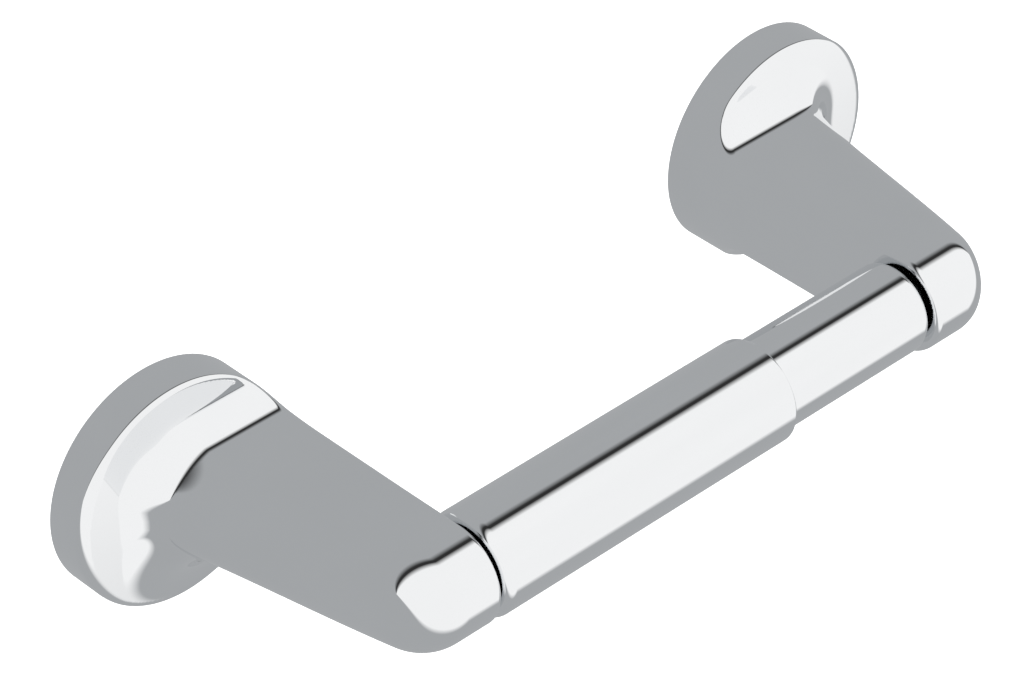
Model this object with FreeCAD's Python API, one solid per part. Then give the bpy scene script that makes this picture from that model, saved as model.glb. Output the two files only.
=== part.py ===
"""Wall-mounted paper roll holder: two cast posts on hidden wall brackets carry a spring-loaded
telescoping roller.

Frame: X runs along the roller, Y into the wall, Z up. The origin is on the wall plane (y = 0),
midway between the posts and level with the roller axis. The left post is at negative X.
"""
import FreeCAD, Part
import math
import os

from FreeCAD import Vector

X_AXIS = Vector(1, 0, 0)
Y_AXIS = Vector(0, 1, 0)
Z_AXIS = Vector(0, 0, 1)

# Driving dimensions, in millimetres.
POST_CENTRE_X = 87.9          # flange centre from the middle of the holder
FLANGE_RADIUS = 26.5
FLANGE_THICKNESS = 9.7
ROLLER_AXIS_Y = -66.5
SOCKET_FACE_X = 63.8          # inner face of each arm's nose
NOSE_RADIUS = 11.7            # also half the arm's height
BIG_TUBE_RADIUS = 12.0
SMALL_TUBE_RADIUS = 10.5
TUBE_STEP_X = 20.0            # where the small tube enters the big one

# Post casting.
ARM_OUTER_AT_NOSE_X = 84.6    # outer side of the arm, level with the roller axis
ARM_OUTER_SLOPE = 0.24        # how fast that side widens towards the wall
OUTER_EDGE_RADIUS = 8.0
ROOT_FILLET_RADIUS = 8.2
ROOT_END_Y = -FLANGE_THICKNESS - ROOT_FILLET_RADIUS
NOSE_BOW = 0.02               # the inner side still bows this much at the nose
EDGE_RADIUS = 2.0             # along the rim and the arm's inner outline
OVERSHOOT = 12.0              # material inside the inner side, trimmed off after the fillets
POCKET_RADIUS = 21.0
POCKET_DEPTH = 6.4
CORE_HALF_HEIGHT = 8.7
CORE_END_Y = -47.0
CORE_WALL = 2.8

# Hidden mounting.
BRACKET_WIDTH = 20.0
BRACKET_THICKNESS = 4.0
BRACKET_FRONT_HALF = 12.0     # half height of the bracket's front face
BRACKET_BACK_HALF = 8.5       # half height at the wall; the bevel between them holds the post
HOOK_CLEARANCE = 0.3
HOOK_HALF_WIDTH = 9.0
WALL_GAP = 0.6                # hook and boss stop short of the wall by this much
SCREW_HALF_SPACING = 5.0      # wall screws sit this far above and below the axis
SCREW_RADIUS = 1.75           # over the rolled thread, which starts at the wall
SCREW_NECK_RADIUS = 1.4       # plain shank between head and thread
SCREW_HEAD_RADIUS = 3.4
SCREW_HEAD_HEIGHT = 1.9
SCREW_LENGTH = 16.0
SCREW_TIP = 2.5
DRIVE_RADIUS = 1.5
DRIVE_DEPTH = 1.2
SCREW_HOLE_RADIUS = 2.0
SET_SCREW_RADIUS = 2.0
SET_SCREW_Y = -2.6
SET_SCREW_LOW_Z = -21.5
SET_SCREW_TIP_Z = -11.3
SET_SCREW_TIP = 1.4
HEX_HALF_FLATS = 1.0
HEX_DEPTH = 2.2
BOSS_HALF_WIDTH = 5.5
BOSS_TOP_Z = -14.5
FIT_CLEARANCE = 0.05

# Roller.
END_GAP = 1.0                 # between a tube's end and the nose beside it
TUBE_WALL = 0.8
BIG_END_RADIUS = 2.4
SMALL_END_RADIUS = 2.0
MOUTH_EDGE_RADIUS = 0.6
MOUTH_LIP = 1.2
PIN_RADIUS = 3.5
PIN_ENGAGEMENT = 6.0
PIN_EDGE_RADIUS = 1.2
SOCKET_SPARE_DEPTH = 0.5
RUNNING_CLEARANCE = 0.08
PLUG_LENGTH = 9.0
PLUG_CHAMFER = 2.3            # clears the fillet inside the tube's closed end
PLUG_BORE_RADIUS = 5.0
PLUG_BORE_DEPTH = 5.0
SMALL_TUBE_INNER_END_X = -20.0
COLLAR_LENGTH = 8.0
COLLAR_FLANGE = 2.0
SPRING_WIRE_RADIUS = 0.6
SPRING_RADIUS = 6.4
SPRING_COILS = 9
SPRING_END_GAP = 0.3

# Allowances for building and for finding edges.
NEAR = 0.01                   # a point this close to a surface lies on it
PAST = 1.0                    # how far a cutter or a joined piece runs past the face it meets


def box(low, high):
    """A block between two opposite corners."""
    size = high - low
    return Part.makeBox(size.x, size.y, size.z, low)


def rod(radius, start, end):
    """A cylinder of this radius between two points."""
    run = end - start
    return Part.makeCylinder(radius, run.Length, start, run)


def on_axis(x):
    """The point of the roller axis at this x."""
    return Vector(x, ROLLER_AXIS_Y, 0)


def prism(points, run):
    """The polygon through these points, extruded along a vector."""
    return Part.Face(Part.makePolygon(points + points[:1])).extrude(run)


def mirrored(shape):
    """The same piece on the other side of the holder."""
    return shape.mirror(Vector(0, 0, 0), X_AXIS)


def edges_where(shape, test):
    """The shape's edges whose middle point passes a test."""
    found = []
    for edge in shape.Edges:
        middle = edge.valueAt((edge.FirstParameter + edge.LastParameter) / 2)
        if test(middle):
            found.append(edge)
    return found


def arm_outer_x(y):
    """Where the arm's outer side lies, at a distance from the wall."""
    return ARM_OUTER_AT_NOSE_X + ARM_OUTER_SLOPE * (y - ROLLER_AXIS_Y)


def arm_blank():
    """The arm before its inner side is cut: flat top and bottom, half-round nose, tapering outside."""
    nose_y = ROLLER_AXIS_Y - NOSE_RADIUS
    inner = SOCKET_FACE_X - OVERSHOOT
    plan = prism([Vector(inner, 0, -NOSE_RADIUS), Vector(arm_outer_x(0), 0, -NOSE_RADIUS),
                  Vector(arm_outer_x(nose_y), nose_y, -NOSE_RADIUS),
                  Vector(inner, nose_y, -NOSE_RADIUS)], Z_AXIS * 2 * NOSE_RADIUS)
    side = box(Vector(inner, ROLLER_AXIS_Y, -NOSE_RADIUS), Vector(arm_outer_x(0), 0, NOSE_RADIUS))
    nose = rod(NOSE_RADIUS, Vector(inner, ROLLER_AXIS_Y, 0), Vector(arm_outer_x(0), ROLLER_AXIS_Y, 0))
    arm = plan.common(side.fuse(nose).removeSplitter())
    outer = edges_where(arm, lambda p: abs(p.x - arm_outer_x(p.y)) < NEAR and p.y < -1
                        and (abs(abs(p.z) - NOSE_RADIUS) < NEAR or p.y < ROLLER_AXIS_Y))
    return arm.makeFillet(OUTER_EDGE_RADIUS, outer)


def post_blank():
    """Flange and arm as one body, with the concave fillet between them."""
    centre = Vector(POST_CENTRE_X, 0, 0)
    inner = SOCKET_FACE_X - OVERSHOOT
    flange = rod(FLANGE_RADIUS, centre, centre - Y_AXIS * FLANGE_THICKNESS)
    flange = flange.fuse(box(Vector(inner, -FLANGE_THICKNESS, -FLANGE_RADIUS),
                             Vector(POST_CENTRE_X, 0, FLANGE_RADIUS))).removeSplitter()
    body = flange.fuse(arm_blank()).removeSplitter()
    root = edges_where(body, lambda p: abs(p.y + FLANGE_THICKNESS) < NEAR
                       and abs(p.z) < NOSE_RADIUS + NEAR and inner + PAST < p.x < arm_outer_x(0) + PAST)
    return body.makeFillet(ROOT_FILLET_RADIUS, root)


def rim_trimmer():
    """Everything beside the flange's own cylinder, over the length that the root fillet reaches."""
    centre = Vector(POST_CENTRE_X, 0, 0)
    keep = rod(FLANGE_RADIUS, centre + Y_AXIS * PAST, Vector(POST_CENTRE_X, ROOT_END_Y - PAST, 0))
    around = box(Vector(SOCKET_FACE_X - OVERSHOOT - PAST, ROOT_END_Y, -FLANGE_RADIUS - PAST),
                 Vector(POST_CENTRE_X, PAST, FLANGE_RADIUS + PAST))
    return around.cut(keep)


def side_section(y, edge_x, middle_x):
    """The waste inside the arm's inner side, as a wire at one distance from the wall."""
    far = SOCKET_FACE_X - OVERSHOOT - 2 * PAST
    upper, lower = Vector(edge_x, y, NOSE_RADIUS), Vector(edge_x, y, -NOSE_RADIUS)
    side = Part.Arc(lower, Vector(middle_x, y, 0), upper).toShape()
    back = Part.makePolygon([upper, Vector(far, y, NOSE_RADIUS), Vector(far, y, -NOSE_RADIUS), lower])
    return Part.Wire([side] + back.Edges)


def side_trimmer():
    """Cuts the arm's inner side: bowed like the flange's rim at the root, almost flat at the nose."""
    rim_edge_x = POST_CENTRE_X - math.sqrt(FLANGE_RADIUS ** 2 - NOSE_RADIUS ** 2)
    root = side_section(ROOT_END_Y, rim_edge_x, POST_CENTRE_X - FLANGE_RADIUS)
    nose = side_section(ROLLER_AXIS_Y - NOSE_RADIUS - PAST, SOCKET_FACE_X, SOCKET_FACE_X - NOSE_BOW)
    return Part.makeLoft([root, nose], True, True)


def pocket():
    """The recess in the back of the casting, with the core that lightens the arm."""
    centre = Vector(POST_CENTRE_X, 0, 0)
    recess = rod(POCKET_RADIUS, centre + Y_AXIS * PAST, centre - Y_AXIS * POCKET_DEPTH)
    base = Vector(0, 0, -CORE_HALF_HEIGHT)
    core = prism([base + Vector(SOCKET_FACE_X + CORE_WALL, 0, 0),
                  base + Vector(arm_outer_x(0) - CORE_WALL, 0, 0),
                  base + Vector(arm_outer_x(CORE_END_Y) - CORE_WALL, CORE_END_Y, 0),
                  base + Vector(SOCKET_FACE_X + CORE_WALL, CORE_END_Y, 0)],
                 Z_AXIS * 2 * CORE_HALF_HEIGHT)
    return recess.fuse(core)


def hook_and_boss():
    """Inside the recess: the bevelled hook that hangs on the bracket, and the set screw's boss."""
    slope = (BRACKET_FRONT_HALF - BRACKET_BACK_HALF) / BRACKET_THICKNESS
    floor, front, back = -POCKET_DEPTH - PAST, -BRACKET_THICKNESS, -WALL_GAP
    low_front = BRACKET_FRONT_HALF + HOOK_CLEARANCE
    low_back = low_front - slope * (BRACKET_THICKNESS - WALL_GAP)
    left = POST_CENTRE_X - HOOK_HALF_WIDTH
    hook = prism([Vector(left, floor, low_front), Vector(left, front, low_front),
                  Vector(left, back, low_back), Vector(left, back, FLANGE_RADIUS),
                  Vector(left, floor, FLANGE_RADIUS)], X_AXIS * 2 * HOOK_HALF_WIDTH)
    boss = box(Vector(POST_CENTRE_X - BOSS_HALF_WIDTH, floor, -FLANGE_RADIUS),
               Vector(POST_CENTRE_X + BOSS_HALF_WIDTH, back, BOSS_TOP_Z))
    centre = Vector(POST_CENTRE_X, 0, 0)
    return hook.fuse(boss).common(rod(POCKET_RADIUS + PAST, centre, centre - Y_AXIS * FLANGE_THICKNESS))


def on_inner_side(p):
    """Whether a point lies on the casting's inner side: the rim's cylinder or the arm's bowed face."""
    if p.y > ROOT_END_Y - NEAR:
        return abs(math.hypot(p.x - POST_CENTRE_X, p.z) - FLANGE_RADIUS) < NEAR
    return p.x < SOCKET_FACE_X + PAST


def soften(post):
    """Rounds the edge that runs round the flange's rim and on along the arm and its nose."""
    def is_outline(p):
        """Whether an edge with this middle point belongs to that outline."""
        across = abs(p.y - ROOT_END_Y) < NEAR and abs(p.z) < NOSE_RADIUS - PAST
        return on_inner_side(p) and p.y < NEAR - FLANGE_THICKNESS and not across
    return post.makeFillet(EDGE_RADIUS, edges_where(post, is_outline))


def right_post():
    """The finished casting on the right, with its pin socket and set-screw hole."""
    post = soften(post_blank().cut(rim_trimmer()).cut(side_trimmer()))
    post = post.cut(pocket()).fuse(hook_and_boss())
    socket_depth = PIN_ENGAGEMENT + SOCKET_SPARE_DEPTH
    socket = rod(PIN_RADIUS + RUNNING_CLEARANCE, on_axis(SOCKET_FACE_X - 2 * PAST),
                 on_axis(SOCKET_FACE_X + socket_depth))
    foot = Vector(POST_CENTRE_X, SET_SCREW_Y, -FLANGE_RADIUS - PAST)
    thread = rod(SET_SCREW_RADIUS + FIT_CLEARANCE, foot, Vector(POST_CENTRE_X, SET_SCREW_Y, BOSS_TOP_Z + PAST))
    return post.cut(socket).cut(thread).removeSplitter()


def right_wall_bracket():
    """Bevelled plate that is screwed to the wall and carries the post."""
    left = POST_CENTRE_X - BRACKET_WIDTH / 2
    plate = prism([Vector(left, 0, -BRACKET_BACK_HALF), Vector(left, 0, BRACKET_BACK_HALF),
                   Vector(left, -BRACKET_THICKNESS, BRACKET_FRONT_HALF),
                   Vector(left, -BRACKET_THICKNESS, -BRACKET_FRONT_HALF)], X_AXIS * BRACKET_WIDTH)
    for z in (-SCREW_HALF_SPACING, SCREW_HALF_SPACING):
        front = Vector(POST_CENTRE_X, -BRACKET_THICKNESS, z)
        plate = plate.cut(rod(SCREW_HOLE_RADIUS, front, front + Y_AXIS * BRACKET_THICKNESS))
        sink = Part.makeCone(SCREW_HEAD_RADIUS + FIT_CLEARANCE, SCREW_HOLE_RADIUS,
                             SCREW_HEAD_HEIGHT, front, Y_AXIS)
        plate = plate.cut(sink)
    return plate


def right_wall_screw(z):
    """Countersunk screw through the bracket into the wall, with a square drive and a tapered tip."""
    front = Vector(POST_CENTRE_X, -BRACKET_THICKNESS, z)
    at_wall = Vector(POST_CENTRE_X, 0, z)
    thread_end = front + Y_AXIS * (SCREW_LENGTH - SCREW_TIP)
    head = Part.makeCone(SCREW_HEAD_RADIUS, SCREW_NECK_RADIUS, SCREW_HEAD_HEIGHT, front, Y_AXIS)
    neck = rod(SCREW_NECK_RADIUS, front + Y_AXIS * SCREW_HEAD_HEIGHT, at_wall)
    thread = rod(SCREW_RADIUS, at_wall, thread_end)
    tip = Part.makeCone(SCREW_RADIUS, SCREW_RADIUS / 5, SCREW_TIP, thread_end, Y_AXIS)
    half = Vector(DRIVE_RADIUS / math.sqrt(2), 0, DRIVE_RADIUS / math.sqrt(2))
    drive = box(front - half, front + half + Y_AXIS * DRIVE_DEPTH)
    return head.fuse(neck).fuse(thread).fuse(tip).removeSplitter().cut(drive)


def hexagon(half_flats, centre):
    """Corner points of a horizontal hexagon of this half width across its flats."""
    corner = half_flats / math.cos(math.pi / 6)
    return [centre + Vector(corner * math.cos(k * math.pi / 3), corner * math.sin(k * math.pi / 3), 0)
            for k in range(6)]


def right_set_screw():
    """Headless screw driven up from below; its cone presses on the bracket's lower bevel."""
    low = Vector(POST_CENTRE_X, SET_SCREW_Y, SET_SCREW_LOW_Z)
    shoulder = low + Z_AXIS * (SET_SCREW_TIP_Z - SET_SCREW_TIP - SET_SCREW_LOW_Z)
    body = rod(SET_SCREW_RADIUS, low, shoulder)
    tip = Part.makeCone(SET_SCREW_RADIUS, SET_SCREW_RADIUS / 4, SET_SCREW_TIP, shoulder, Z_AXIS)
    return body.fuse(tip).cut(prism(hexagon(HEX_HALF_FLATS, low), Z_AXIS * HEX_DEPTH))


def closed_tube(radius, closed_x, open_x, end_radius):
    """A drawn tube, closed at one end except for the pin's hole, with a rounded closed edge."""
    into = 1 if open_x > closed_x else -1
    outside = rod(radius, on_axis(closed_x), on_axis(open_x))
    inside = rod(radius - TUBE_WALL, on_axis(closed_x + into * TUBE_WALL), on_axis(open_x))
    outside = outside.makeFillet(end_radius, edges_where(outside, lambda p: abs(p.x - closed_x) < NEAR))
    inside = inside.makeFillet(end_radius - TUBE_WALL / 2,
                               edges_where(inside, lambda p: abs(p.x - closed_x - into * TUBE_WALL) < NEAR))
    hole = rod(PIN_RADIUS + FIT_CLEARANCE, on_axis(closed_x - into * PAST),
               on_axis(closed_x + into * (TUBE_WALL + PAST)))
    return outside.cut(inside).cut(hole)


def roller_outer_tube():
    """The larger tube, closed on the left, with a rolled-in lip round its mouth."""
    left = -SOCKET_FACE_X + END_GAP
    tube = closed_tube(BIG_TUBE_RADIUS, left, TUBE_STEP_X, BIG_END_RADIUS)
    lip = rod(BIG_TUBE_RADIUS - TUBE_WALL / 2, on_axis(TUBE_STEP_X - MOUTH_LIP), on_axis(TUBE_STEP_X))
    bore = rod(SMALL_TUBE_RADIUS + RUNNING_CLEARANCE, on_axis(0), on_axis(TUBE_STEP_X + PAST))
    tube = tube.fuse(lip.cut(bore)).removeSplitter()
    mouth = edges_where(tube, lambda p: abs(p.x - TUBE_STEP_X) < NEAR
                        and math.hypot(p.y - ROLLER_AXIS_Y, p.z) > BIG_TUBE_RADIUS - NEAR)
    return tube.makeFillet(MOUTH_EDGE_RADIUS, mouth)


def roller_inner_tube():
    """The smaller tube, closed on the right, which slides into the larger one."""
    return closed_tube(SMALL_TUBE_RADIUS, SOCKET_FACE_X - END_GAP, SMALL_TUBE_INNER_END_X, SMALL_END_RADIUS)


def pivot_plug(tube_radius, end_x, outwards):
    """Plug pressed inside a tube's closed end, with the pin that turns in the post's socket."""
    seat = end_x - outwards * TUBE_WALL
    body = rod(tube_radius - TUBE_WALL - FIT_CLEARANCE, on_axis(seat), on_axis(seat - outwards * PLUG_LENGTH))
    body = body.makeChamfer(PLUG_CHAMFER, edges_where(body, lambda p: abs(p.x - seat) < NEAR))
    pin_end = end_x + outwards * (END_GAP + PIN_ENGAGEMENT)
    pin = rod(PIN_RADIUS, on_axis(seat - outwards * PAST), on_axis(pin_end))
    pin = pin.makeFillet(PIN_EDGE_RADIUS, edges_where(pin, lambda p: abs(p.x - pin_end) < NEAR))
    bore_end = seat - outwards * (PLUG_LENGTH - PLUG_BORE_DEPTH)
    bore = rod(PLUG_BORE_RADIUS, on_axis(bore_end), on_axis(seat - outwards * (PLUG_LENGTH + PAST)))
    return body.fuse(pin).removeSplitter().cut(bore)


def sliding_collar():
    """Collar in the small tube's hidden end: it guides the tube and is the spring's moving seat."""
    end = SMALL_TUBE_INNER_END_X
    spigot_radius = SMALL_TUBE_RADIUS - TUBE_WALL - FIT_CLEARANCE
    flange_radius = BIG_TUBE_RADIUS - TUBE_WALL - RUNNING_CLEARANCE
    return rod(flange_radius, on_axis(end - COLLAR_FLANGE), on_axis(end)).fuse(
        rod(spigot_radius, on_axis(end), on_axis(end + COLLAR_LENGTH))).removeSplitter()


def guide_bush():
    """Bush inside the large tube's mouth that the small tube slides through."""
    mouth = TUBE_STEP_X - MOUTH_LIP
    outer = rod(BIG_TUBE_RADIUS - TUBE_WALL - FIT_CLEARANCE, on_axis(mouth - COLLAR_LENGTH), on_axis(mouth))
    return outer.cut(rod(SMALL_TUBE_RADIUS + RUNNING_CLEARANCE, on_axis(0), on_axis(TUBE_STEP_X)))


def spring_half_turn(number, pitch):
    """One tilted half ring about the Z axis. The next one bulges to the other side and joins smoothly."""
    side = 1 if number % 2 == 0 else -1
    start = Vector(side * SPRING_RADIUS, 0, number * pitch / 2)
    centre = Vector(0, 0, (number + 0.5) * pitch / 2)
    axis = Vector(0, side, 0).cross(centre - start)
    section = Part.Face(Part.Wire(Part.makeCircle(SPRING_WIRE_RADIUS, start, Y_AXIS)))
    return section.revolve(centre, axis, 180)


def compression_spring():
    """Coil spring between the left plug and the sliding collar."""
    left = -SOCKET_FACE_X + END_GAP + TUBE_WALL + PLUG_LENGTH + SPRING_WIRE_RADIUS + SPRING_END_GAP
    right = SMALL_TUBE_INNER_END_X - COLLAR_FLANGE - SPRING_WIRE_RADIUS - SPRING_END_GAP
    pitch = (right - left) / SPRING_COILS
    turns = [spring_half_turn(number, pitch) for number in range(2 * SPRING_COILS)]
    coil = turns[0].multiFuse(turns[1:])
    coil.rotate(Vector(0, 0, 0), Y_AXIS, 90)
    coil.translate(on_axis(left))
    return coil


def pieces():
    """Every piece of the holder by name."""
    made = {}
    post_side = {
        "post": right_post(),
        "wall_bracket": right_wall_bracket(),
        "upper_wall_screw": right_wall_screw(SCREW_HALF_SPACING),
        "lower_wall_screw": right_wall_screw(-SCREW_HALF_SPACING),
        "set_screw": right_set_screw(),
    }
    for name, shape in post_side.items():
        made["right_" + name] = shape
        made["left_" + name] = mirrored(shape)
    made["roller_outer_tube"] = roller_outer_tube()
    made["roller_inner_tube"] = roller_inner_tube()
    made["left_pivot_plug"] = pivot_plug(BIG_TUBE_RADIUS, -SOCKET_FACE_X + END_GAP, -1)
    made["right_pivot_plug"] = pivot_plug(SMALL_TUBE_RADIUS, SOCKET_FACE_X - END_GAP, 1)
    made["sliding_collar"] = sliding_collar()
    made["guide_bush"] = guide_bush()
    made["compression_spring"] = compression_spring()
    return made


def main():
    """Writes one STEP file for each piece."""
    os.makedirs("parts", exist_ok=True)
    for name, shape in pieces().items():
        solids = shape.Solids
        if len(solids) != 1 or not solids[0].isValid():
            raise ValueError(f"{name} isn't one valid solid")
        solids[0].exportStep(f"parts/{name}.step")


if __name__ == "__main__":
    main()
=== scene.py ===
"""Wall-mounted paper roll holder in polished chrome: its looks, studio and camera.

Two cast posts stand on hidden wall brackets and carry a spring-loaded telescoping roller. X runs
along the roller towards its smaller tube, Y into the wall and Z up; the wall plane is y = 0. Sizes
are in millimetres and become metres in the last step of each piece.
"""
import logging
import math
from dataclasses import dataclass
from enum import Enum
from typing import Any, Callable, Optional, Sequence

import bmesh
import bpy
import numpy as np
from mathutils import Matrix, Vector


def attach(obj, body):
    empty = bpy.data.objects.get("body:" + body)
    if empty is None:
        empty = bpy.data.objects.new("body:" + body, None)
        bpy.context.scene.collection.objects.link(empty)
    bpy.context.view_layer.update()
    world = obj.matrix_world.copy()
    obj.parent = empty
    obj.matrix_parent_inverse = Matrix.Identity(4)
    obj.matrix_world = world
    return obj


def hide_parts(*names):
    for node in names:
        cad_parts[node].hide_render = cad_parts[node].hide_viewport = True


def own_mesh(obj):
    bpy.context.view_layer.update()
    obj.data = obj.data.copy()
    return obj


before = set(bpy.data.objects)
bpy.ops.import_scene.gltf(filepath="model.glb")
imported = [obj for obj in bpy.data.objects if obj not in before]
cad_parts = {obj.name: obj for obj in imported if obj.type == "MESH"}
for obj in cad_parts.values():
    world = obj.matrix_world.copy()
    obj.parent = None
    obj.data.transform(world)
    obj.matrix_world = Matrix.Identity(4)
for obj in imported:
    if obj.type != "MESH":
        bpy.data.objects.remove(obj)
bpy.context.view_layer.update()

logging.basicConfig(level=logging.INFO, format="%(message)s")
LOG = logging.getLogger("paper_roll_holder")

MM = 0.001

# Driving sizes that several pieces share, in millimetres.
FLANGE_X = 87.9
ROLLER_AXIS_Y = -66.5
SET_SCREW_Y = -2.6

# Noise values between which a finish goes from its first colour and roughness to its second.
SHADE_LOW, SHADE_HIGH = 0.3, 0.7

# Floors under the lengths and slopes that something is divided by.
NO_LENGTH = 1e-6
NO_SLOPE = 1e-9


class Side(Enum):
    """Which end of the holder a piece belongs to, as the sign of its x."""

    LEFT = -1
    RIGHT = 1

    @property
    def word(self) -> str:
        """The side's name as it stands in node names."""
        return self.name.lower()


class Slot(Enum):
    """The record's material slots."""

    PLATE = "chrome_plate"
    TUBE = "chrome_tube"
    ZINC = "zinc_steel"
    BLACK = "black_oxide_steel"
    SPRING = "spring_steel"
    NYLON = "grey_nylon"


# ---------------------------------------------------------------------------------------------
# Colours, nodes and finishes
# ---------------------------------------------------------------------------------------------


def linear(code: str) -> tuple[float, float, float, float]:
    """Turns an sRGB hex colour into linear RGBA.

    Args:
        code: A colour such as "#C8CCCE".

    Returns:
        The linear red, green, blue and an alpha of 1.
    """
    channels = [int(code[start:start + 2], 16) / 255 for start in (1, 3, 5)]
    light = [c / 12.92 if c <= 0.04045 else ((c + 0.055) / 1.055) ** 2.4 for c in channels]
    return light[0], light[1], light[2], 1.0


def per_metre(size_mm: float) -> float:
    """Gives the texture scale at which a pattern repeats about every so many millimetres."""
    return 1 / (size_mm * MM)


def add_node(tree: bpy.types.NodeTree, kind: str, links: Optional[dict[Any, Any]] = None,
             inputs: Optional[dict[Any, Any]] = None, **settings: Any) -> bpy.types.Node:
    """Adds one node to a tree, with its settings, its socket values and what feeds it.

    Args:
        tree: The material's or the world's node tree.
        kind: The node's type, such as "ShaderNodeMath".
        links: Output sockets by the input that each one feeds.
        inputs: Constant values by input.
        **settings: Properties of the node itself.

    Returns:
        The new node.
    """
    node = tree.nodes.new(kind)
    for key, value in settings.items():
        setattr(node, key, value)
    for key, value in (inputs or {}).items():
        node.inputs[key].default_value = value
    for key, socket in (links or {}).items():
        tree.links.new(socket, node.inputs[key])
    return node


def set_ramp(node: bpy.types.Node, stops: Sequence[tuple[float, str]]) -> None:
    """Gives a colour ramp its stops.

    Args:
        node: The colour ramp.
        stops: Position from 0 to 1 and sRGB hex colour of each stop, in order.
    """
    elements = node.color_ramp.elements
    while len(elements) > 1:
        elements.remove(elements[-1])
    elements[0].position, elements[0].color = stops[0][0], linear(stops[0][1])
    for position, code in stops[1:]:
        elements.new(position).color = linear(code)


@dataclass(frozen=True)
class Pattern:
    """One noise pattern of a surface, in millimetres along the roller and across it."""

    along: float
    across: float
    detail: float = 3.0

    def add(self, tree: bpy.types.NodeTree) -> bpy.types.NodeSocket:
        """Adds the pattern to a tree.

        Args:
            tree: The material's node tree.

        Returns:
            The socket with the pattern's value from 0 to 1.
        """
        place = add_node(tree, "ShaderNodeTexCoord")
        stretch = (self.across / self.along, 1.0, 1.0)
        mapping = add_node(tree, "ShaderNodeMapping", {"Vector": place.outputs["Object"]},
                           {"Scale": stretch})
        noise = add_node(tree, "ShaderNodeTexNoise", {"Vector": mapping.outputs["Vector"]},
                         {"Scale": per_metre(self.across), "Detail": self.detail})
        return noise.outputs["Fac"]


@dataclass(frozen=True)
class Finish:
    """A real material with the way its surface was made.

    Colour and roughness each run between two values with the shade pattern, and the relief
    pattern stands up by the relief height.
    """

    name: str
    colours: tuple[str, str]
    roughness: tuple[float, float]
    metallic: float
    shade: Pattern
    relief: Pattern
    relief_height: float
    ior: Optional[float] = None

    def material(self) -> bpy.types.Material:
        """Makes the finish's material once and returns it every time."""
        found = bpy.data.materials.get(self.name)
        if found is not None:
            return found
        made = bpy.data.materials.new(self.name)
        made.use_nodes = True
        tree = made.node_tree
        shader = tree.nodes["Principled BSDF"]
        shader.inputs["Metallic"].default_value = self.metallic
        if self.ior is not None:
            shader.inputs["IOR"].default_value = self.ior
        shade = self.shade.add(tree)
        tint = add_node(tree, "ShaderNodeValToRGB", {"Fac": shade})
        set_ramp(tint, [(SHADE_LOW, self.colours[0]), (SHADE_HIGH, self.colours[1])])
        tree.links.new(tint.outputs["Color"], shader.inputs["Base Color"])
        rough = add_node(tree, "ShaderNodeMapRange", {"Value": shade},
                         {"From Min": SHADE_LOW, "From Max": SHADE_HIGH,
                          "To Min": self.roughness[0], "To Max": self.roughness[1]})
        tree.links.new(rough.outputs["Result"], shader.inputs["Roughness"])
        bump = add_node(tree, "ShaderNodeBump", {"Height": self.relief.add(tree)},
                        {"Strength": 1.0, "Distance": self.relief_height * MM})
        tree.links.new(bump.outputs["Normal"], shader.inputs["Normal"])
        return made


# Decorative chrome over polished cast zinc: a mirror with a cool tint, a faint haze where the buff
# lingered, and waves of a micrometre or so that only bend the reflected edges.
CHROME_ON_CAST_ZINC = Finish(
    name="polished_chrome_on_cast_zinc", colours=("#EFF0F1", "#F1F2F3"), roughness=(0.03, 0.055),
    metallic=1.0, shade=Pattern(along=24, across=24), relief=Pattern(along=9, across=9, detail=1),
    relief_height=0.0015)

# Chrome over drawn steel tube: as bright, with faint lengthwise lines left by the drawing die.
# They are drawn 0.5 mm apart, coarser than the real ones, so that they show at all.
CHROME_ON_DRAWN_TUBE = Finish(
    name="polished_chrome_on_drawn_tube", colours=("#EFF0F1", "#F1F2F3"), roughness=(0.03, 0.05),
    metallic=1.0, shade=Pattern(along=60, across=6), relief=Pattern(along=60, across=0.5, detail=1),
    relief_height=0.00012)

# Zinc casting as it left the die, under a thin flash of plating: matt grey with a fine grain. It is
# meant for the inside of the posts, but no face shows it yet, as piece_of says.
AS_CAST_ZINC = Finish(
    name="as_cast_zinc", colours=("#85888A", "#9A9D9F"), roughness=(0.42, 0.6), metallic=1.0,
    shade=Pattern(along=5, across=5), relief=Pattern(along=0.8, across=0.8), relief_height=0.02)

# Bright zinc electroplate on pressed steel: bluish silver, cloudy, with a soft shine.
BRIGHT_ZINC = Finish(
    name="bright_zinc_plated_steel", colours=("#A9ADB3", "#BFC2C4"), roughness=(0.22, 0.38),
    metallic=1.0, shade=Pattern(along=4, across=4), relief=Pattern(along=1.2, across=1.2),
    relief_height=0.004)

# Black oxide on alloy steel: near black and slightly oily, so it keeps a dull sheen.
BLACK_OXIDE = Finish(
    name="black_oxide_alloy_steel", colours=("#1C1D1F", "#2B2C2E"), roughness=(0.35, 0.5),
    metallic=1.0, shade=Pattern(along=2, across=2), relief=Pattern(along=0.6, across=0.6),
    relief_height=0.003)

# Hard-drawn music wire: mid grey, with die lines along the wire and a soft shine.
SPRING_WIRE = Finish(
    name="hard_drawn_spring_wire", colours=("#7B7D80", "#96989A"), roughness=(0.25, 0.4),
    metallic=1.0, shade=Pattern(along=2, across=2), relief=Pattern(along=0.4, across=0.4),
    relief_height=0.002)

# Moulded nylon: dark grey and satin, with the fine spark-eroded grain of its mould.
MOULDED_NYLON = Finish(
    name="moulded_grey_nylon", colours=("#4A4C4F", "#55575A"), roughness=(0.45, 0.6), metallic=0.0,
    shade=Pattern(along=6, across=6), relief=Pattern(along=0.5, across=0.5), relief_height=0.006,
    ior=1.53)


# ---------------------------------------------------------------------------------------------
# Mesh tools
# ---------------------------------------------------------------------------------------------


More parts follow.
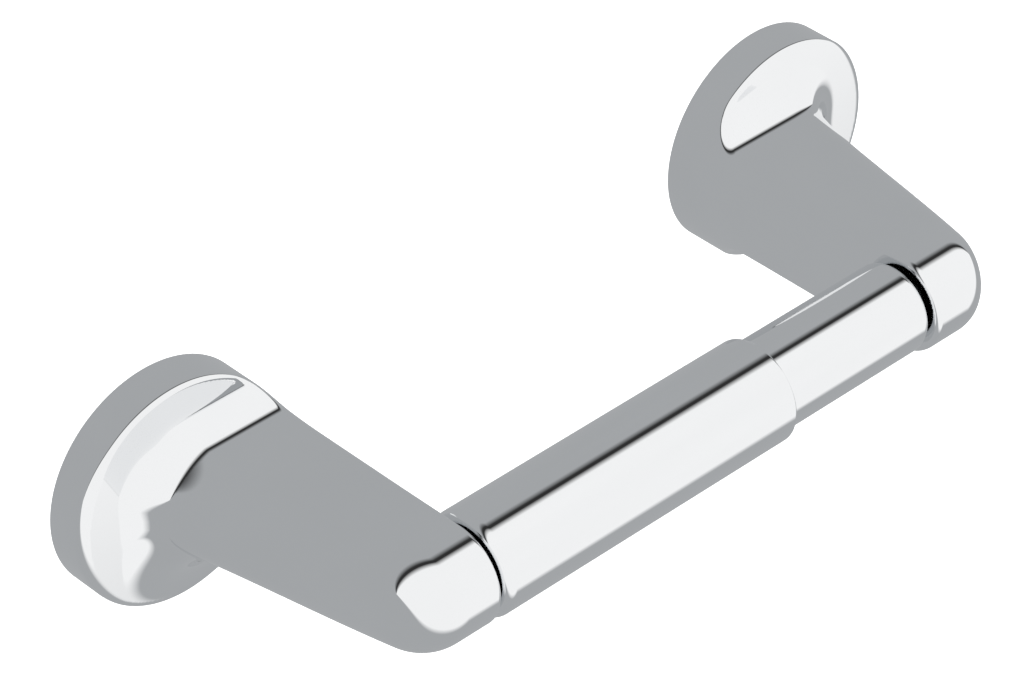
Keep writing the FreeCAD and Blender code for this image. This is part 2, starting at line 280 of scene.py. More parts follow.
def mesh_of(name: str, points: Sequence[Any], faces: Sequence[Any]) -> bpy.types.Mesh:
    """Makes a mesh whose faces all look outwards.

    Args:
        name: The mesh's name.
        points: Its vertices, in millimetres.
        faces: Vertex numbers of each face.

    Returns:
        The mesh, still in millimetres.
    """
    made = bpy.data.meshes.new(name)
    made.from_pydata([tuple(p) for p in points], [], [tuple(f) for f in faces])
    work = bmesh.new()
    work.from_mesh(made)
    bmesh.ops.recalc_face_normals(work, faces=work.faces)
    work.to_mesh(made)
    work.free()
    return made


def skin(name: str, rings: Sequence[np.ndarray], loop: bool = False) -> bpy.types.Mesh:
    """Joins rings of points into one closed surface.

    Args:
        name: The mesh's name.
        rings: Arrays of equally many points, each running round the surface.
        loop: Whether the last ring joins the first; if not, both end rings are capped.

    Returns:
        The mesh, in millimetres.
    """
    count, around = len(rings), len(rings[0])
    index = np.arange(count * around).reshape(count, around)
    near, far = (index, np.roll(index, -1, 0)) if loop else (index[:-1], index[1:])
    quads = np.stack([near, far, np.roll(far, -1, 1), np.roll(near, -1, 1)], -1)
    faces = quads.reshape(-1, 4).tolist()
    if not loop:
        faces += [index[0].tolist(), index[-1].tolist()]
    return mesh_of(name, np.concatenate(rings), faces)


def joined(name: str, meshes: Sequence[bpy.types.Mesh]) -> bpy.types.Mesh:
    """Puts several meshes together as one and removes them."""
    work = bmesh.new()
    for mesh in meshes:
        work.from_mesh(mesh)
    made = bpy.data.meshes.new(name)
    work.to_mesh(made)
    work.free()
    for mesh in meshes:
        bpy.data.meshes.remove(mesh)
    return made


def carve(mesh: bpy.types.Mesh, tool: bpy.types.Mesh, operation: str) -> bpy.types.Mesh:
    """Combines two closed meshes.

    Args:
        mesh: The mesh that is worked on.
        tool: The second mesh.
        operation: "DIFFERENCE", "UNION" or "INTERSECT".

    Returns:
        The result; both inputs are removed.
    """
    holder = bpy.data.objects.new("carved", mesh)
    other = bpy.data.objects.new("tool", tool)
    for made in (holder, other):
        bpy.context.scene.collection.objects.link(made)
    modifier = holder.modifiers.new("carve", "BOOLEAN")
    modifier.operation, modifier.solver, modifier.object = operation, "EXACT", other
    graph = bpy.context.evaluated_depsgraph_get()
    result = bpy.data.meshes.new_from_object(holder.evaluated_get(graph))
    for made in (holder, other):
        used = made.data
        bpy.data.objects.remove(made)
        bpy.data.meshes.remove(used)
    return result


def round_union(a: np.ndarray, b: np.ndarray, radius: Any) -> np.ndarray:
    """Joins two distance fields with a concave fillet of this radius."""
    corner = np.hypot(np.maximum(radius - a, 0), np.maximum(radius - b, 0))
    return np.maximum(radius, np.minimum(a, b)) - corner


def round_intersection(a: np.ndarray, b: np.ndarray, radius: Any,
                       power: float = 2.0) -> np.ndarray:
    """Keeps what two distance fields share, with a rounded edge.

    Args:
        a: The first field.
        b: The second field.
        radius: How far in from the edge the rounding starts.
        power: 2 gives an arc; a little more makes the rounding start and end gently.

    Returns:
        The field of the shared part.
    """
    corner = (np.maximum(radius + a, 0) ** power + np.maximum(radius + b, 0) ** power) ** (1 / power)
    return np.minimum(-radius, np.maximum(a, b)) + corner


def eased(value: np.ndarray, start: float, end: float) -> np.ndarray:
    """Goes smoothly from 0 at start to 1 at end."""
    share = np.clip((value - start) / (end - start), 0, 1)
    return share * share * (3 - 2 * share)


Field = Callable[[np.ndarray], np.ndarray]


def gradient(field: Field, points: np.ndarray) -> np.ndarray:
    """Slope of a distance field at each point, by central differences."""
    reach = 0.01
    steps = np.eye(3) * reach
    return np.stack([field(points + s) - field(points - s) for s in steps], -1) / (2 * reach)


def settle(field: Field, points: np.ndarray, rounds: int = 4) -> np.ndarray:
    """Moves points onto the surface where a distance field is zero."""
    least_squared = 0.05
    for _ in range(rounds):
        slope = gradient(field, points)
        squared = np.maximum((slope * slope).sum(-1), least_squared)
        points = points - slope * (field(points) / squared)[:, None]
    return points


def surface_net(field: Field, low: Sequence[float], high: Sequence[float],
                step: float) -> tuple[np.ndarray, np.ndarray]:
    """Lays a net of four-sided faces over the zero surface of a distance field.

    Args:
        field: The distance field, in millimetres.
        low: Lowest corner of the box that is searched.
        high: Highest corner of that box.
        step: The net's spacing.

    Returns:
        The points of the net and the four corners of each face.
    """
    axes = [np.arange(a, b + step, step) for a, b in zip(low, high)]
    nodes = np.stack(np.meshgrid(*axes, indexing="ij"), -1)
    inside = field(nodes) < 0
    corners = sum(inside[i:inside.shape[0] - 1 + i, j:inside.shape[1] - 1 + j,
                         k:inside.shape[2] - 1 + k].astype(int)
                  for i in (0, 1) for j in (0, 1) for k in (0, 1))
    active = (corners > 0) & (corners < 8)
    number = np.full(active.shape, -1)
    number[active] = np.arange(active.sum())
    points = nodes[:-1, :-1, :-1][active] + step / 2
    faces = []
    for axis in range(3):
        first, second = (axis + 1) % 3, (axis + 2) % 3
        here, there = [slice(None)] * 3, [slice(None)] * 3
        here[axis], there[axis] = slice(None, -1), slice(1, None)
        cross = inside[tuple(here)].astype(int) - inside[tuple(there)]
        for sign in (1, -1):
            at = np.argwhere(cross == sign)
            keep = (at[:, first] > 0) & (at[:, second] > 0)
            keep &= (at[:, first] < active.shape[first]) & (at[:, second] < active.shape[second])
            at = at[keep]
            ring = []
            for back_first, back_second in ((1, 1), (0, 1), (0, 0), (1, 0)):
                cell = at.copy()
                cell[:, first] -= back_first
                cell[:, second] -= back_second
                ring.append(number[tuple(cell.T)])
            faces.append(np.stack(ring[::sign], -1))
    quads = np.concatenate(faces)
    points = settle(field, points)
    passes, rounds = 3, 2
    for _ in range(passes):
        points = settle(field, relaxed(points, quads), rounds)
    return points, quads


def relaxed(points: np.ndarray, quads: np.ndarray) -> np.ndarray:
    """Moves each point of a net halfway to the middle of its neighbours, to even the net out."""
    total = np.zeros_like(points)
    count = np.zeros(len(points))
    for corner in range(4):
        for other in (1, 3):
            np.add.at(total, quads[:, corner], points[quads[:, (corner + other) % 4]])
            np.add.at(count, quads[:, corner], 1)
    return (points + total / np.maximum(count, 1)[:, None]) / 2


def piece_of(name: str, mesh: bpy.types.Mesh, body: str, finishes: Sequence[Finish],
             replaced: Sequence[str], sharp_deg: float = 35.0) -> bpy.types.Object:
    """Turns a mesh in millimetres into a finished piece that rides on a body.

    Args:
        name: The piece's name.
        mesh: Its mesh, in millimetres and in place.
        body: The body it moves with.
        finishes: Its finishes. Every face takes the first one, because clearing the mesh's
            materials also sets its material numbers back to 0.
        replaced: The CAD nodes it stands for.
        sharp_deg: Edges that turn by more than this stay sharp.

    Returns:
        The piece.
    """
    mesh.transform(Matrix.Scale(MM, 4))
    mesh.name = name
    mesh.shade_smooth()
    mesh.set_sharp_from_angle(angle=math.radians(sharp_deg))
    mesh.materials.clear()
    for finish in finishes:
        mesh.materials.append(finish.material())
    piece = bpy.data.objects.new(name, mesh)
    bpy.context.scene.collection.objects.link(piece)
    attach(piece, body)
    if replaced:
        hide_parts(*replaced)
    LOG.info("%s: %d faces on %s", name, len(mesh.polygons), body)
    return piece


def dress_node(name: str, finish: Finish) -> None:
    """Gives a CAD node its finish through the object's own material slot."""
    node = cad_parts[name]
    if not node.material_slots:
        node.data.materials.append(None)
    for slot in node.material_slots:
        slot.link = "OBJECT"
        slot.material = finish.material()
    LOG.info("%s: CAD node in %s", name, finish.name)


def disc(radius: float, centre: Sequence[float], axis: int, around: int) -> np.ndarray:
    """Points of a circle about one of the main axes.

    Args:
        radius: Its radius.
        centre: Its centre.
        axis: 0, 1 or 2 for X, Y or Z.
        around: How many points.

    Returns:
        The points, one row each.
    """
    angle = np.arange(around) * 2 * math.pi / around
    points = np.tile(np.asarray(centre, float), (around, 1))
    points[:, (axis + 1) % 3] += radius * np.cos(angle)
    points[:, (axis + 2) % 3] += radius * np.sin(angle)
    return points


def cylinder(radius: float, start: Sequence[float], end: Sequence[float], axis: int,
             around: int = 96) -> bpy.types.Mesh:
    """A closed cylinder between two points on one of the main axes, used only to carve with."""
    return skin("cutter", [disc(radius, start, axis, around), disc(radius, end, axis, around)])


def prism(outline: Sequence[Sequence[float]], x_low: float, x_high: float) -> bpy.types.Mesh:
    """A closed prism along X over an outline of (y, z) points, used only to carve with."""
    return skin("cutter", [np.array([(x, y, z) for y, z in outline]) for x in (x_low, x_high)])


# ---------------------------------------------------------------------------------------------
# Posts
# ---------------------------------------------------------------------------------------------


@dataclass
class Post:
    """A cast post: a round flange that grows into a tapering arm with a half-round nose.

    All sizes are those of the right post; the left one is its mirror image. The fillet round the
    arm's root is side_fillet beside the arm, root_fillet above it and under_fillet below it. It goes
    by the sine of the direction from where the outer side's rounding starts: it is all root_fillet
    from root_fillet_from upwards, and changes to under_fillet over under_fillet_range downwards.
    The rim's edge grows to outer_rim_edge as the cosine of the direction from the flange's centre
    goes from outer_rim_from to 1.
    """

    side: Side
    flange_x: float = FLANGE_X
    flange_radius: float = 26.5
    flange_thickness: float = 9.7
    axis_y: float = ROLLER_AXIS_Y
    socket_x: float = 63.8
    nose_radius: float = 11.7
    outer_at_nose: float = 84.6
    outer_slope: float = 0.24
    nose_edge: float = 8.5
    root_edge: float = 11.2
    edge_power: float = 2.1
    flare_reach: float = 14.0
    flare_radius: float = 40.0
    root_fillet: float = 6.6
    side_fillet: float = 6.0
    under_fillet: float = 12.0
    rim_edge: float = 1.3
    outer_rim_edge: float = 2.3
    nose_inner_edge: float = 1.2
    recess_radius: float = 21.0
    recess_depth: float = 6.4
    core_half_height: float = 8.7
    core_end_y: float = -47.0
    core_wall: float = 2.8
    core_chamfer: float = 4.0
    bracket_front: float = 12.0
    bracket_back: float = 8.5
    bracket_thickness: float = 4.0
    hook_half_width: float = 9.0
    hook_clearance: float = 0.3
    wall_gap: float = 0.6
    boss_half_width: float = 5.5
    boss_top: float = -14.5
    socket_radius: float = 3.58
    socket_depth: float = 6.5
    set_screw_radius: float = 2.05
    set_screw_y: float = SET_SCREW_Y
    root_fillet_from: float = 0.9
    under_fillet_range: tuple[float, float] = (0.3, 0.95)
    outer_rim_from: float = 0.6
    polish_depth: float = 0.1
    polish_facing: float = 0.8
    spacing: float = 0.45
    past: float = 1.0

    @property
    def name(self) -> str:
        """The post's name."""
        return self.side.word + "_post"

    def outer_x(self, y: Any) -> Any:
        """Where the arm's outer side lies at a distance from the wall."""
        return self.outer_at_nose + self.outer_slope * (y - self.axis_y)

    def distance(self, points: np.ndarray) -> np.ndarray:
        """Distance from the polished surface, without its flat back.

        Args:
            points: Places in the right post's frame.

        Returns:
            Negative values inside the casting and positive ones outside.
        """
        x, y, z = points[..., 0], points[..., 1], points[..., 2]
        root_y = -self.flange_thickness - self.flare_reach / 2
        beyond = np.minimum(y - self.axis_y, 0)
        to_flange = np.clip(self.flange_thickness + self.flare_reach + y, 0, self.flare_reach)
        flare = to_flange ** 2 / (2 * self.flare_radius)
        stadium = np.hypot(beyond, z) - self.nose_radius - flare
        outer = (x - self.outer_x(y)) / math.hypot(1, self.outer_slope)
        towards_nose = eased(y, root_y, self.axis_y)
        edge = self.root_edge + (self.nose_edge - self.root_edge) * towards_nose
        arm = round_intersection(stadium, outer, edge, self.edge_power)
        from_core = x - self.outer_x(y) + edge
        upward = z / np.maximum(np.hypot(np.maximum(from_core, 0), z), NO_LENGTH)
        above = eased(upward, 0, self.root_fillet_from)
        below = eased(-upward, *self.under_fillet_range)
        fillet = self.side_fillet + (self.root_fillet - self.side_fillet) * above
        fillet = fillet + (self.under_fillet - self.side_fillet) * below
        blank = round_union(-y - self.flange_thickness, arm, fillet)
        rim = np.hypot(x - self.flange_x, z) - self.flange_radius
        flat = self.socket_x - x
        envelope = rim + (flat - rim) * towards_nose
        outwards = (x - self.flange_x) / np.maximum(np.hypot(x - self.flange_x, z), NO_LENGTH)
        outermost = eased(outwards, self.outer_rim_from, 1)
        rim_edge = self.rim_edge + (self.outer_rim_edge - self.rim_edge) * outermost
        inner_edge = rim_edge + (self.nose_inner_edge - rim_edge) * eased(
            y, self.axis_y + 2 * self.nose_radius, self.axis_y)
        return round_intersection(blank, envelope, inner_edge)

    def shell(self) -> bpy.types.Mesh:
        """The casting's outside, cut flat and closed at the wall."""
        spacing = self.spacing * 1
        margin = 2 * self.past
        reach = self.flange_radius + margin
        low = (self.flange_x - self.flange_radius - margin, self.axis_y - self.nose_radius - margin,
               -reach)
        high = (self.flange_x + self.flange_radius + margin, margin, reach)
        points, quads = surface_net(self.distance, low, high, spacing)
        work = bmesh.new()
        draft = mesh_of("shell", points, quads)
        work.from_mesh(draft)
        bpy.data.meshes.remove(draft)
        everything = work.verts[:] + work.edges[:] + work.faces[:]
        cut = bmesh.ops.bisect_plane(work, geom=everything, plane_co=(0, 0, 0), plane_no=(0, 1, 0),
                                     clear_outer=True, dist=1e-5)
        border = [e for e in cut["geom_cut"] if isinstance(e, bmesh.types.BMEdge)]
        bmesh.ops.edgeloop_fill(work, edges=border)
        bmesh.ops.recalc_face_normals(work, faces=work.faces)
        made = bpy.data.meshes.new("shell")
        work.to_mesh(made)
        work.free()
        return made

    def core_plan(self, inner: float, z: float, inset: float) -> np.ndarray:
        """Outline of the arm's core at one height.

        Args:
            inner: Where its inner side lies.
            z: The height.
            inset: How much further than the wall its outer side stays from the arm's.

        Returns:
            Its four corners.
        """
        wall, end = self.core_wall + inset, self.core_end_y
        return np.array([(inner, self.past, z), (self.outer_x(0) - wall, self.past, z),
                         (self.outer_x(end) - wall, end, z), (inner, end, z)])

    def cavity(self) -> bpy.types.Mesh:
        """Everything that is cut from the casting: recess, core, pin socket and set-screw hole."""
        x, past = self.flange_x, self.past
        inner, half = self.socket_x + self.core_wall, self.core_half_height
        recess = cylinder(self.recess_radius, (x, past, 0), (x, -self.recess_depth, 0), 1, 160)
        levels = ((-half, self.core_chamfer), (-half + self.core_chamfer, 0),
                  (half - self.core_chamfer, 0), (half, self.core_chamfer))
        core = skin("cutter", [self.core_plan(inner, z, inset) for z, inset in levels])
        space = carve(recess, core, "UNION")
        floor, front, back = -self.recess_depth - past, -self.bracket_thickness, -self.wall_gap
        top = self.recess_radius + 2 * past
        slope = (self.bracket_front - self.bracket_back) / self.bracket_thickness
        low_front = self.bracket_front + self.hook_clearance
        low_back = low_front - slope * (self.bracket_thickness - self.wall_gap)
        hook = prism([(floor, low_front), (front, low_front), (back, low_back), (back, top),
                      (floor, top)], x - self.hook_half_width, x + self.hook_half_width)
        boss = prism([(floor, -top), (back, -top), (back, self.boss_top), (floor, self.boss_top)],
                     x - self.boss_half_width, x + self.boss_half_width)
        for kept in (hook, boss):
            space = carve(space, kept, "DIFFERENCE")
        socket = cylinder(self.socket_radius, (self.socket_x - 2 * past, self.axis_y, 0),
                          (self.socket_x + self.socket_depth, self.axis_y, 0), 0)
        thread = cylinder(self.set_screw_radius, (x, self.set_screw_y, -self.flange_radius - past),
                          (x, self.set_screw_y, self.boss_top + past), 2)
        space = carve(space, thread, "UNION")
        return joined("cutter", [space, socket])

    def build(self) -> bpy.types.Object:
        """Carves the casting, dresses it and gives the polished faces their exact normals."""
        mesh = carve(self.shell(), self.cavity(), "DIFFERENCE")
        polished = self.mark_faces(mesh)
        if self.side is Side.LEFT:
            mesh.transform(Matrix.Scale(-1, 4, Vector((1, 0, 0))))
            mesh.flip_normals()
        piece = piece_of(self.name, mesh, "wall_frame", [CHROME_ON_CAST_ZINC, AS_CAST_ZINC],
                         [self.name])
        self.set_normals(piece.data, polished)
        return piece

    def mark_faces(self, mesh: bpy.types.Mesh) -> np.ndarray:
        """Tells the polished faces from those inside the casting.

        The inside is given the second material here, but piece_of undoes that.

        Args:
            mesh: The right post's mesh, in millimetres.

        Returns:
            For each face, whether it belongs to the polished outside.
        """
        middles = np.array([face.center for face in mesh.polygons])
        normals = np.array([face.normal for face in mesh.polygons])
        slopes = gradient(self.distance, middles)
        facing = (slopes * normals).sum(-1) / np.maximum(np.linalg.norm(slopes, axis=-1), NO_LENGTH)
        on_surface = np.abs(self.distance(middles)) < self.polish_depth
        polished = on_surface & (facing > self.polish_facing)
        mesh.polygons.foreach_set("material_index", np.where(polished, 0, 1).astype(np.int32))
        return polished

    def set_normals(self, mesh: bpy.types.Mesh, polished: np.ndarray) -> None:
        """Sets the corner normals of the polished faces from the slope of the distance field.

        Args:
            mesh: The finished mesh, in metres and on its own side.
            polished: For each face, whether it belongs to the polished outside.
        """
        places = np.empty(len(mesh.vertices) * 3)
        mesh.vertices.foreach_get("co", places)
        flip = np.array([self.side.value, 1, 1])
        slopes = gradient(self.distance, places.reshape(-1, 3) / MM * flip) * flip
        slopes /= np.maximum(np.linalg.norm(slopes, axis=-1, keepdims=True), NO_SLOPE)
        corners = np.empty(len(mesh.loops), np.int32)
        mesh.loops.foreach_get("vertex_index", corners)
        sizes = np.array([face.loop_total for face in mesh.polygons])
        on_outside = np.repeat(polished, sizes)
        normals = np.where(on_outside[:, None], slopes[corners], 0.0)
        mesh.normals_split_custom_set(normals.tolist())


# ---------------------------------------------------------------------------------------------
# Roller
# ---------------------------------------------------------------------------------------------


def arc(centre: tuple[float, float], radius: float, start_deg: float, end_deg: float,
        steps: int = 12) -> list[tuple[float, float]]:
    """Points of an arc in a profile's plane.

    Args:
        centre: Its centre, as (x, radius from the roller axis).
        radius: Its radius.
        start_deg: Where it starts, anticlockwise from +x.
        end_deg: Where it ends.
        steps: How many chords stand for it.

    Returns:
        The points in order.
    """
    angles = [math.radians(start_deg + (end_deg - start_deg) * k / steps) for k in range(steps + 1)]
    return [(centre[0] + radius * math.cos(a), centre[1] + radius * math.sin(a)) for a in angles]


def braced(profile: Sequence[tuple[float, float]], brace: float = 0.12,
           longest: float = 4.0) -> list[tuple[float, float]]:
    """Adds points near the ends of a closed profile's long runs, which keeps flat runs flat.

    Args:
        profile: The profile's points.
        brace: How far from a run's ends the new points lie.
        longest: Runs longer than this are divided.

    Returns:
        The profile with the new points.
    """
    made = []
    for (x0, r0), (x1, r1) in zip(profile, [*profile[1:], profile[0]]):
        made.append((x0, r0))
        length = math.hypot(x1 - x0, r1 - r0)
        if length < 4 * brace:
            continue
        parts = max(1, math.ceil(length / longest))
        shares = [brace / length] + [k / parts for k in range(1, parts)] + [1 - brace / length]
        made += [(x0 + (x1 - x0) * s, r0 + (r1 - r0) * s) for s in shares]
    return made


@dataclass
class Spring:
    """The compression spring between the left plug and the collar, with closed end coils."""

    axis_y: float
    left: float = -52.1
    right: float = -22.9
    radius: float = 6.4
    wire: float = 0.6
    turns: int = 9
    closed_pitch: float = 1.3
    opening_turns: tuple[float, float] = (0.6, 1.4)
    steps: int = 40
    around: int = 12
    keep: float = 0.6

    def centre_line(self) -> np.ndarray:
        """Points along the middle of the wire, close together in the first and last turn."""
        turn = np.linspace(0, self.turns, self.turns * self.steps + 1)
        start, end = self.opening_turns
        ends = eased(turn, end, start) + eased(turn, self.turns - end, self.turns - start)
        open_rise = np.cumsum(1 - ends) - (1 - ends[0])
        room = self.right - self.left - self.closed_pitch * self.turns
        along = self.left + self.closed_pitch * turn + room * open_rise / open_rise[-1]
        angle = 2 * math.pi * turn
        return np.stack([along, self.axis_y + self.radius * np.cos(angle),
                         self.radius * np.sin(angle)], -1)

    def build(self) -> bpy.types.Object:
        """Sweeps the wire into a piece that rides on the roller, with a mesh of its own."""
        line = self.centre_line()
        forwards = np.gradient(line, axis=0)
        forwards /= np.linalg.norm(forwards, axis=-1, keepdims=True)
        outwards = line - np.array([0, self.axis_y, 0])
        outwards[:, 0] = 0
        outwards /= np.linalg.norm(outwards, axis=-1, keepdims=True)
        beside = np.cross(forwards, outwards)
        beside /= np.linalg.norm(beside, axis=-1, keepdims=True)
        angle = np.arange(self.around) * 2 * math.pi / self.around
        rings = [p + self.wire * (np.outer(np.cos(angle), a) + np.outer(np.sin(angle), b))
                 for p, a, b in zip(line, np.cross(beside, forwards), beside)]
        piece = piece_of("compression_spring", skin("spring", rings), "roller", [SPRING_WIRE],
                         ["compression_spring"])
        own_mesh(piece)
        return piece


@dataclass
class Roller:
    """The telescoping roller: two drawn tubes with pin plugs, a collar, a bush and a spring."""

    axis_y: float = ROLLER_AXIS_Y
    big_radius: float = 12.0
    small_radius: float = 10.5
    end_x: float = 62.8
    step_x: float = 20.0
    wall: float = 0.8
    big_end: float = 2.4
    small_end: float = 2.0
    pin_radius: float = 3.5
    mouth_edge: float = 0.6
    lip: float = 1.2
    fit_gap: float = 0.05
    running_gap: float = 0.08
    inner_end_x: float = -20.0
    around: int = 256

    def turned(self, name: str, profile: Sequence[tuple[float, float]]) -> bpy.types.Mesh:
        """Turns a closed profile of (x, radius) points about the roller axis."""
        angle = np.arange(self.around) * 2 * math.pi / self.around
        rings = [np.stack([np.full(self.around, x), self.axis_y + r * np.cos(angle),
                           r * np.sin(angle)], -1) for x, r in braced(profile)]
        return skin(name, rings, loop=True)

    def closed_end(self, radius: float, edge: float) -> list[tuple[float, float]]:
        """Profile of a tube's closed end on the left, from the pin hole out to the outside."""
        hole = self.pin_radius + self.fit_gap
        inner = edge - self.wall / 2
        left = -self.end_x
        inside = arc((left + self.wall + inner, radius - self.wall - inner), inner, 90, 180)
        outside = arc((left + edge, radius - edge), edge, 180, 90, 20)
        return [*inside, (left + self.wall, hole), (left, hole), *outside]

    def outer_tube(self) -> bpy.types.Object:
        """The larger tube, with its mouth rolled in to a lip."""
        radius, mouth = self.big_radius, self.step_x
        bore = self.small_radius + self.running_gap
        rolled = arc((mouth - self.mouth_edge, radius - self.mouth_edge), self.mouth_edge, 90, 0, 8)
        inside = radius - self.wall
        profile = [*self.closed_end(radius, self.big_end), *rolled, (mouth, bore),
                   (mouth - self.lip, bore), (mouth - self.lip, inside)]
        return piece_of("roller_outer_tube", self.turned("outer", profile), "roller",
                        [CHROME_ON_DRAWN_TUBE], ["roller_outer_tube"])

    def inner_tube(self) -> bpy.types.Object:
        """The smaller tube, which slides into the larger one."""
        closed = self.closed_end(self.small_radius, self.small_end)
        profile = [(-x, r) for x, r in closed]
        profile += [(self.inner_end_x, self.small_radius),
                    (self.inner_end_x, self.small_radius - self.wall)]
        return piece_of("roller_inner_tube", self.turned("inner", profile), "roller_slider",
                        [CHROME_ON_DRAWN_TUBE], ["roller_inner_tube"])

    def build(self) -> None:
        """Makes the tubes and dresses the CAD pieces inside them."""
        self.outer_tube()
        self.inner_tube()
        for name in ("left_pivot_plug", "right_pivot_plug", "sliding_collar", "guide_bush"):
            dress_node(name, MOULDED_NYLON)
        Spring(self.axis_y).build()


# ---------------------------------------------------------------------------------------------
# Wall fixings
# ---------------------------------------------------------------------------------------------


@dataclass(frozen=True)
class Screw:
    """A screw with a rolled thread, standing on its drive end along +Z.

    Its outline holds (height, radius) points from the drive end to the tip, and thread the heights
    between which the thread is pressed in, fading over one pitch at each end.
    """

    outline: tuple[tuple[float, float], ...]
    thread: tuple[float, float]
    pitch: float
    depth: float
    drive_corners: int
    drive_radius: float
    drive_depth: float
    spacing: float = 0.1
    around: int = 60

    def mesh(self) -> bpy.types.Mesh:
        """Turns the outline, presses the thread into it and sinks the drive."""
        length = self.outline[-1][0]
        angle = np.arange(self.around) * 2 * math.pi / self.around
        rings = []
        for height in np.linspace(0, length, math.ceil(length / self.spacing) + 1):
            radius = np.interp(height, *zip(*self.outline))
            ridge = np.abs((height / self.pitch - angle / (2 * math.pi)) % 1 * 2 - 1)
            start, end = self.thread
            share = eased(height, start, start + self.pitch) * eased(height, end, end - self.pitch)
            reach = radius - self.depth * share * ridge
            rings.append(np.stack([reach * np.cos(angle), reach * np.sin(angle),
                                   np.full(self.around, height)], -1))
        turn = 2 * math.pi / self.drive_corners
        corners = [(self.drive_radius * math.cos((k + 0.5) * turn),
                    self.drive_radius * math.sin((k + 0.5) * turn))
                   for k in range(self.drive_corners)]
        drive = skin("cutter", [np.array([(x, y, z) for x, y in corners])
                                for z in (-1.0, self.drive_depth)])
        return carve(skin("screw", rings), drive, "DIFFERENCE")


WALL_SCREW = Screw(outline=((0, 3.4), (1.9, 1.4), (4.0, 1.4), (4.4, 1.75), (13.5, 1.75), (16, 0.35)),
                   thread=(4.0, 14.9), pitch=1.3, depth=0.38, drive_corners=4, drive_radius=1.5,
                   drive_depth=1.2)
SET_SCREW = Screw(outline=((0, 1.8), (0.2, 2.0), (8.8, 2.0), (10.2, 0.5)), thread=(-0.7, 9.6),
                  pitch=0.7, depth=0.36, drive_corners=6, drive_radius=1.155, drive_depth=2.2,
                  spacing=0.07)


@dataclass
class WallFixing:
    """What holds one post on the wall: a bevelled bracket, two wall screws and a set screw."""

    side: Side
    x: float = FLANGE_X
    bracket_front: float = -4.0
    half_spacing: float = 5.0
    set_screw_y: float = SET_SCREW_Y
    set_screw_low: float = -21.5

    def screw(self, name: str, kind: Screw, place: Matrix, finish: Finish,
              slot: Slot) -> bpy.types.Object:
        """Makes one screw and puts it in its place.

        Args:
            name: The screw's name without its side.
            kind: Its shape.
            place: Where it goes, in millimetres.
            finish: Its finish.
            slot: Its slot in the record; not used.

        Returns:
            The screw.
        """
        mesh = kind.mesh()
        mesh.transform(place)
        full_name = f"{self.side.word}_{name}"
        return piece_of(full_name, mesh, "wall_frame", [finish], [full_name], sharp_deg=40)

    def build(self) -> None:
        """Makes the three screws and dresses the bracket."""
        x = self.side.value * self.x
        into_wall = Matrix.Rotation(-math.pi / 2, 4, "X")
        for name, z in (("upper_wall_screw", self.half_spacing),
                        ("lower_wall_screw", -self.half_spacing)):
            place = Matrix.Translation((x, self.bracket_front, z)) @ into_wall
            self.screw(name, WALL_SCREW, place, BRIGHT_ZINC, Slot.ZINC)
        place = Matrix.Translation((x, self.set_screw_y, self.set_screw_low))
        self.screw("set_screw", SET_SCREW, place, BLACK_OXIDE, Slot.BLACK)
        dress_node(f"{self.side.word}_wall_bracket", BRIGHT_ZINC)


# ---------------------------------------------------------------------------------------------
# Studio
# ---------------------------------------------------------------------------------------------


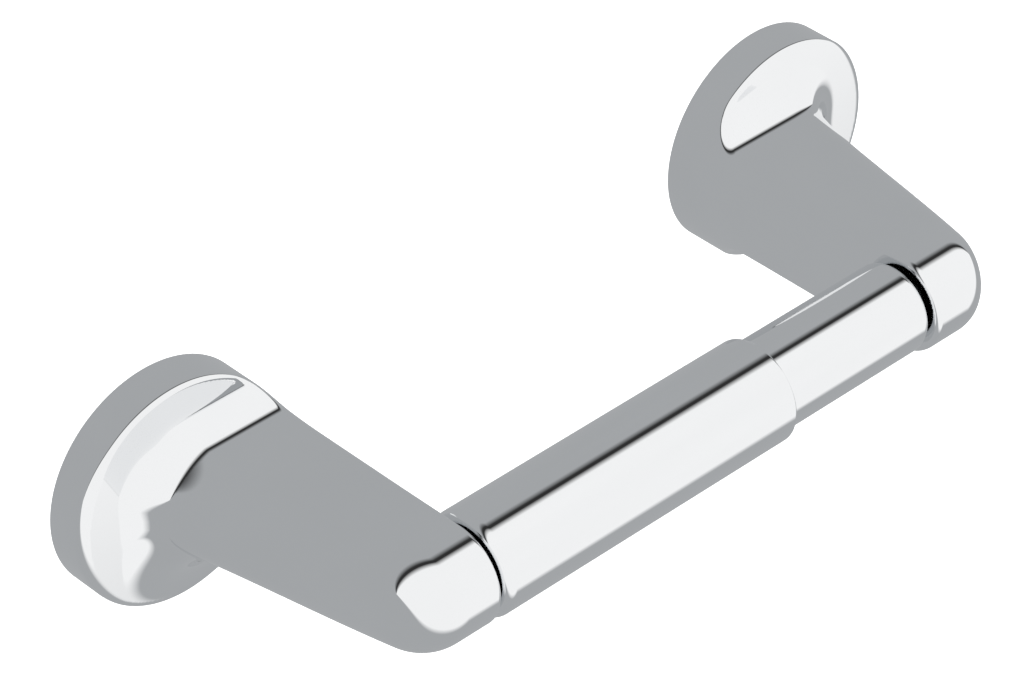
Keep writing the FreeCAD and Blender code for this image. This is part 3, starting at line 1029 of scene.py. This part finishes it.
@dataclass
class Studio:
    """A plain light tent, a pale floor and the camera.

    The tent runs along the roller: grey cloth behind and below, one white card in front, and a
    narrow dark gap overhead where the two meet. Angles go about the roller, from the wall side (0)
    over the top (90) and the front (180) to straight down (270).
    """

    azimuth_deg: float = -43.80
    elevation_deg: float = 37.17
    distance: float = 939.9
    aim: tuple[float, float, float] = (-19.63, -33.13, 15.64)
    lens: float = 162.64
    sensor: float = 36.0
    floor_z: float = -160.0
    floor_half: float = 6000.0
    brightness: float = 1.05
    cloth: str = "#A8AAAC"
    card: str = "#FAFAFA"
    gap: str = "#303030"
    gap_from: float = 80.0
    card_from: float = 95.0
    card_to: float = 230.0
    soft_border: float = 5.0

    def light(self) -> None:
        """Makes the tent as the world, and a plain white ground for what the camera sees."""
        world = bpy.data.worlds.new("light_tent")
        bpy.context.scene.world = world
        world.use_nodes = True
        tree = world.node_tree
        tree.nodes.clear()
        place = add_node(tree, "ShaderNodeTexCoord").outputs["Generated"]
        parts = add_node(tree, "ShaderNodeSeparateXYZ", {"Vector": place})
        angle = add_node(tree, "ShaderNodeMath", {0: parts.outputs["Z"], 1: parts.outputs["Y"]},
                         operation="ARCTAN2")
        turn = add_node(tree, "ShaderNodeMath", {0: angle.outputs["Value"]}, {1: 2 * math.pi},
                        operation="DIVIDE")
        share = add_node(tree, "ShaderNodeMath", {0: turn.outputs["Value"]}, {1: 0.0, 2: 1.0},
                         operation="WRAP")
        tone = add_node(tree, "ShaderNodeValToRGB", {"Fac": share.outputs["Value"]})
        soft = self.soft_border
        tones = ((0, self.cloth), (self.gap_from - soft, self.cloth), (self.gap_from + soft, self.gap),
                 (self.card_from - soft, self.gap), (self.card_from + soft, self.card),
                 (self.card_to - soft, self.card), (self.card_to + soft, self.cloth),
                 (360, self.cloth))
        set_ramp(tone, [(degrees / 360, code) for degrees, code in tones])
        tent = add_node(tree, "ShaderNodeBackground", {"Color": tone.outputs["Color"]},
                        {"Strength": self.brightness})
        ground = add_node(tree, "ShaderNodeBackground", None, {"Color": linear("#FFFFFF")})
        path = add_node(tree, "ShaderNodeLightPath")
        mix = add_node(tree, "ShaderNodeMixShader",
                       {0: path.outputs["Is Camera Ray"], 1: tent.outputs["Background"],
                        2: ground.outputs["Background"]})
        add_node(tree, "ShaderNodeOutputWorld", {"Surface": mix.outputs["Shader"]})
        LOG.info("light tent: cloth %s, card %s, gap %s", self.cloth, self.card, self.gap)

    def floor(self) -> None:
        """Makes the plain pale floor below the holder, which only its upper side shows."""
        half, z = self.floor_half, self.floor_z
        corners = [(-half, -half, z), (half, -half, z), (half, half, z), (-half, half, z)]
        mesh = bpy.data.meshes.new("floor")
        mesh.from_pydata(corners, [], [(0, 1, 2, 3)])
        mesh.transform(Matrix.Scale(MM, 4))
        material = bpy.data.materials.new("pale_floor")
        material.use_nodes = True
        tree = material.node_tree
        shader = tree.nodes["Principled BSDF"]
        shader.inputs["Base Color"].default_value = linear("#F2F2F1")
        shader.inputs["Roughness"].default_value = 0.9
        shader.inputs["Emission Color"].default_value = linear("#FFFFFF")
        shader.inputs["Emission Strength"].default_value = 1.0
        side = add_node(tree, "ShaderNodeNewGeometry")
        clear = add_node(tree, "ShaderNodeBsdfTransparent")
        mix = add_node(tree, "ShaderNodeMixShader",
                       {0: side.outputs["Backfacing"], 1: shader.outputs["BSDF"],
                        2: clear.outputs["BSDF"]})
        tree.links.new(mix.outputs["Shader"], tree.nodes["Material Output"].inputs["Surface"])
        mesh.materials.append(material)
        plane = bpy.data.objects.new("floor", mesh)
        bpy.context.scene.collection.objects.link(plane)
        plane.visible_glossy = False
        LOG.info("floor at %.0f mm", self.floor_z)

    def camera(self) -> None:
        """Makes the camera and sets it as the scene's."""
        azimuth, elevation = math.radians(self.azimuth_deg), math.radians(self.elevation_deg)
        back = Vector((math.sin(azimuth) * math.cos(elevation),
                       -math.cos(azimuth) * math.cos(elevation), math.sin(elevation)))
        data = bpy.data.cameras.new("camera")
        data.lens, data.sensor_width = self.lens, self.sensor
        data.clip_start, data.clip_end = 0.01, 100.0
        camera = bpy.data.objects.new("camera", data)
        bpy.context.scene.collection.objects.link(camera)
        camera.rotation_mode = "QUATERNION"
        camera.location = (Vector(self.aim) + back * self.distance) * MM
        camera.rotation_quaternion = (-back).to_track_quat("-Z", "Y")
        bpy.context.scene.camera = camera
        LOG.info("camera %.0f mm away", self.distance)

    def build(self) -> None:
        """Sets up the studio."""
        self.light()
        self.floor()
        self.camera()
        bpy.context.scene.view_settings.view_transform = "Standard"


def main() -> None:
    """Builds the holder and its studio."""
    Studio().build()
    for side in Side:
        Post(side).build()
        WallFixing(side).build()
    Roller().build()


if __name__ == "__main__":
    main()
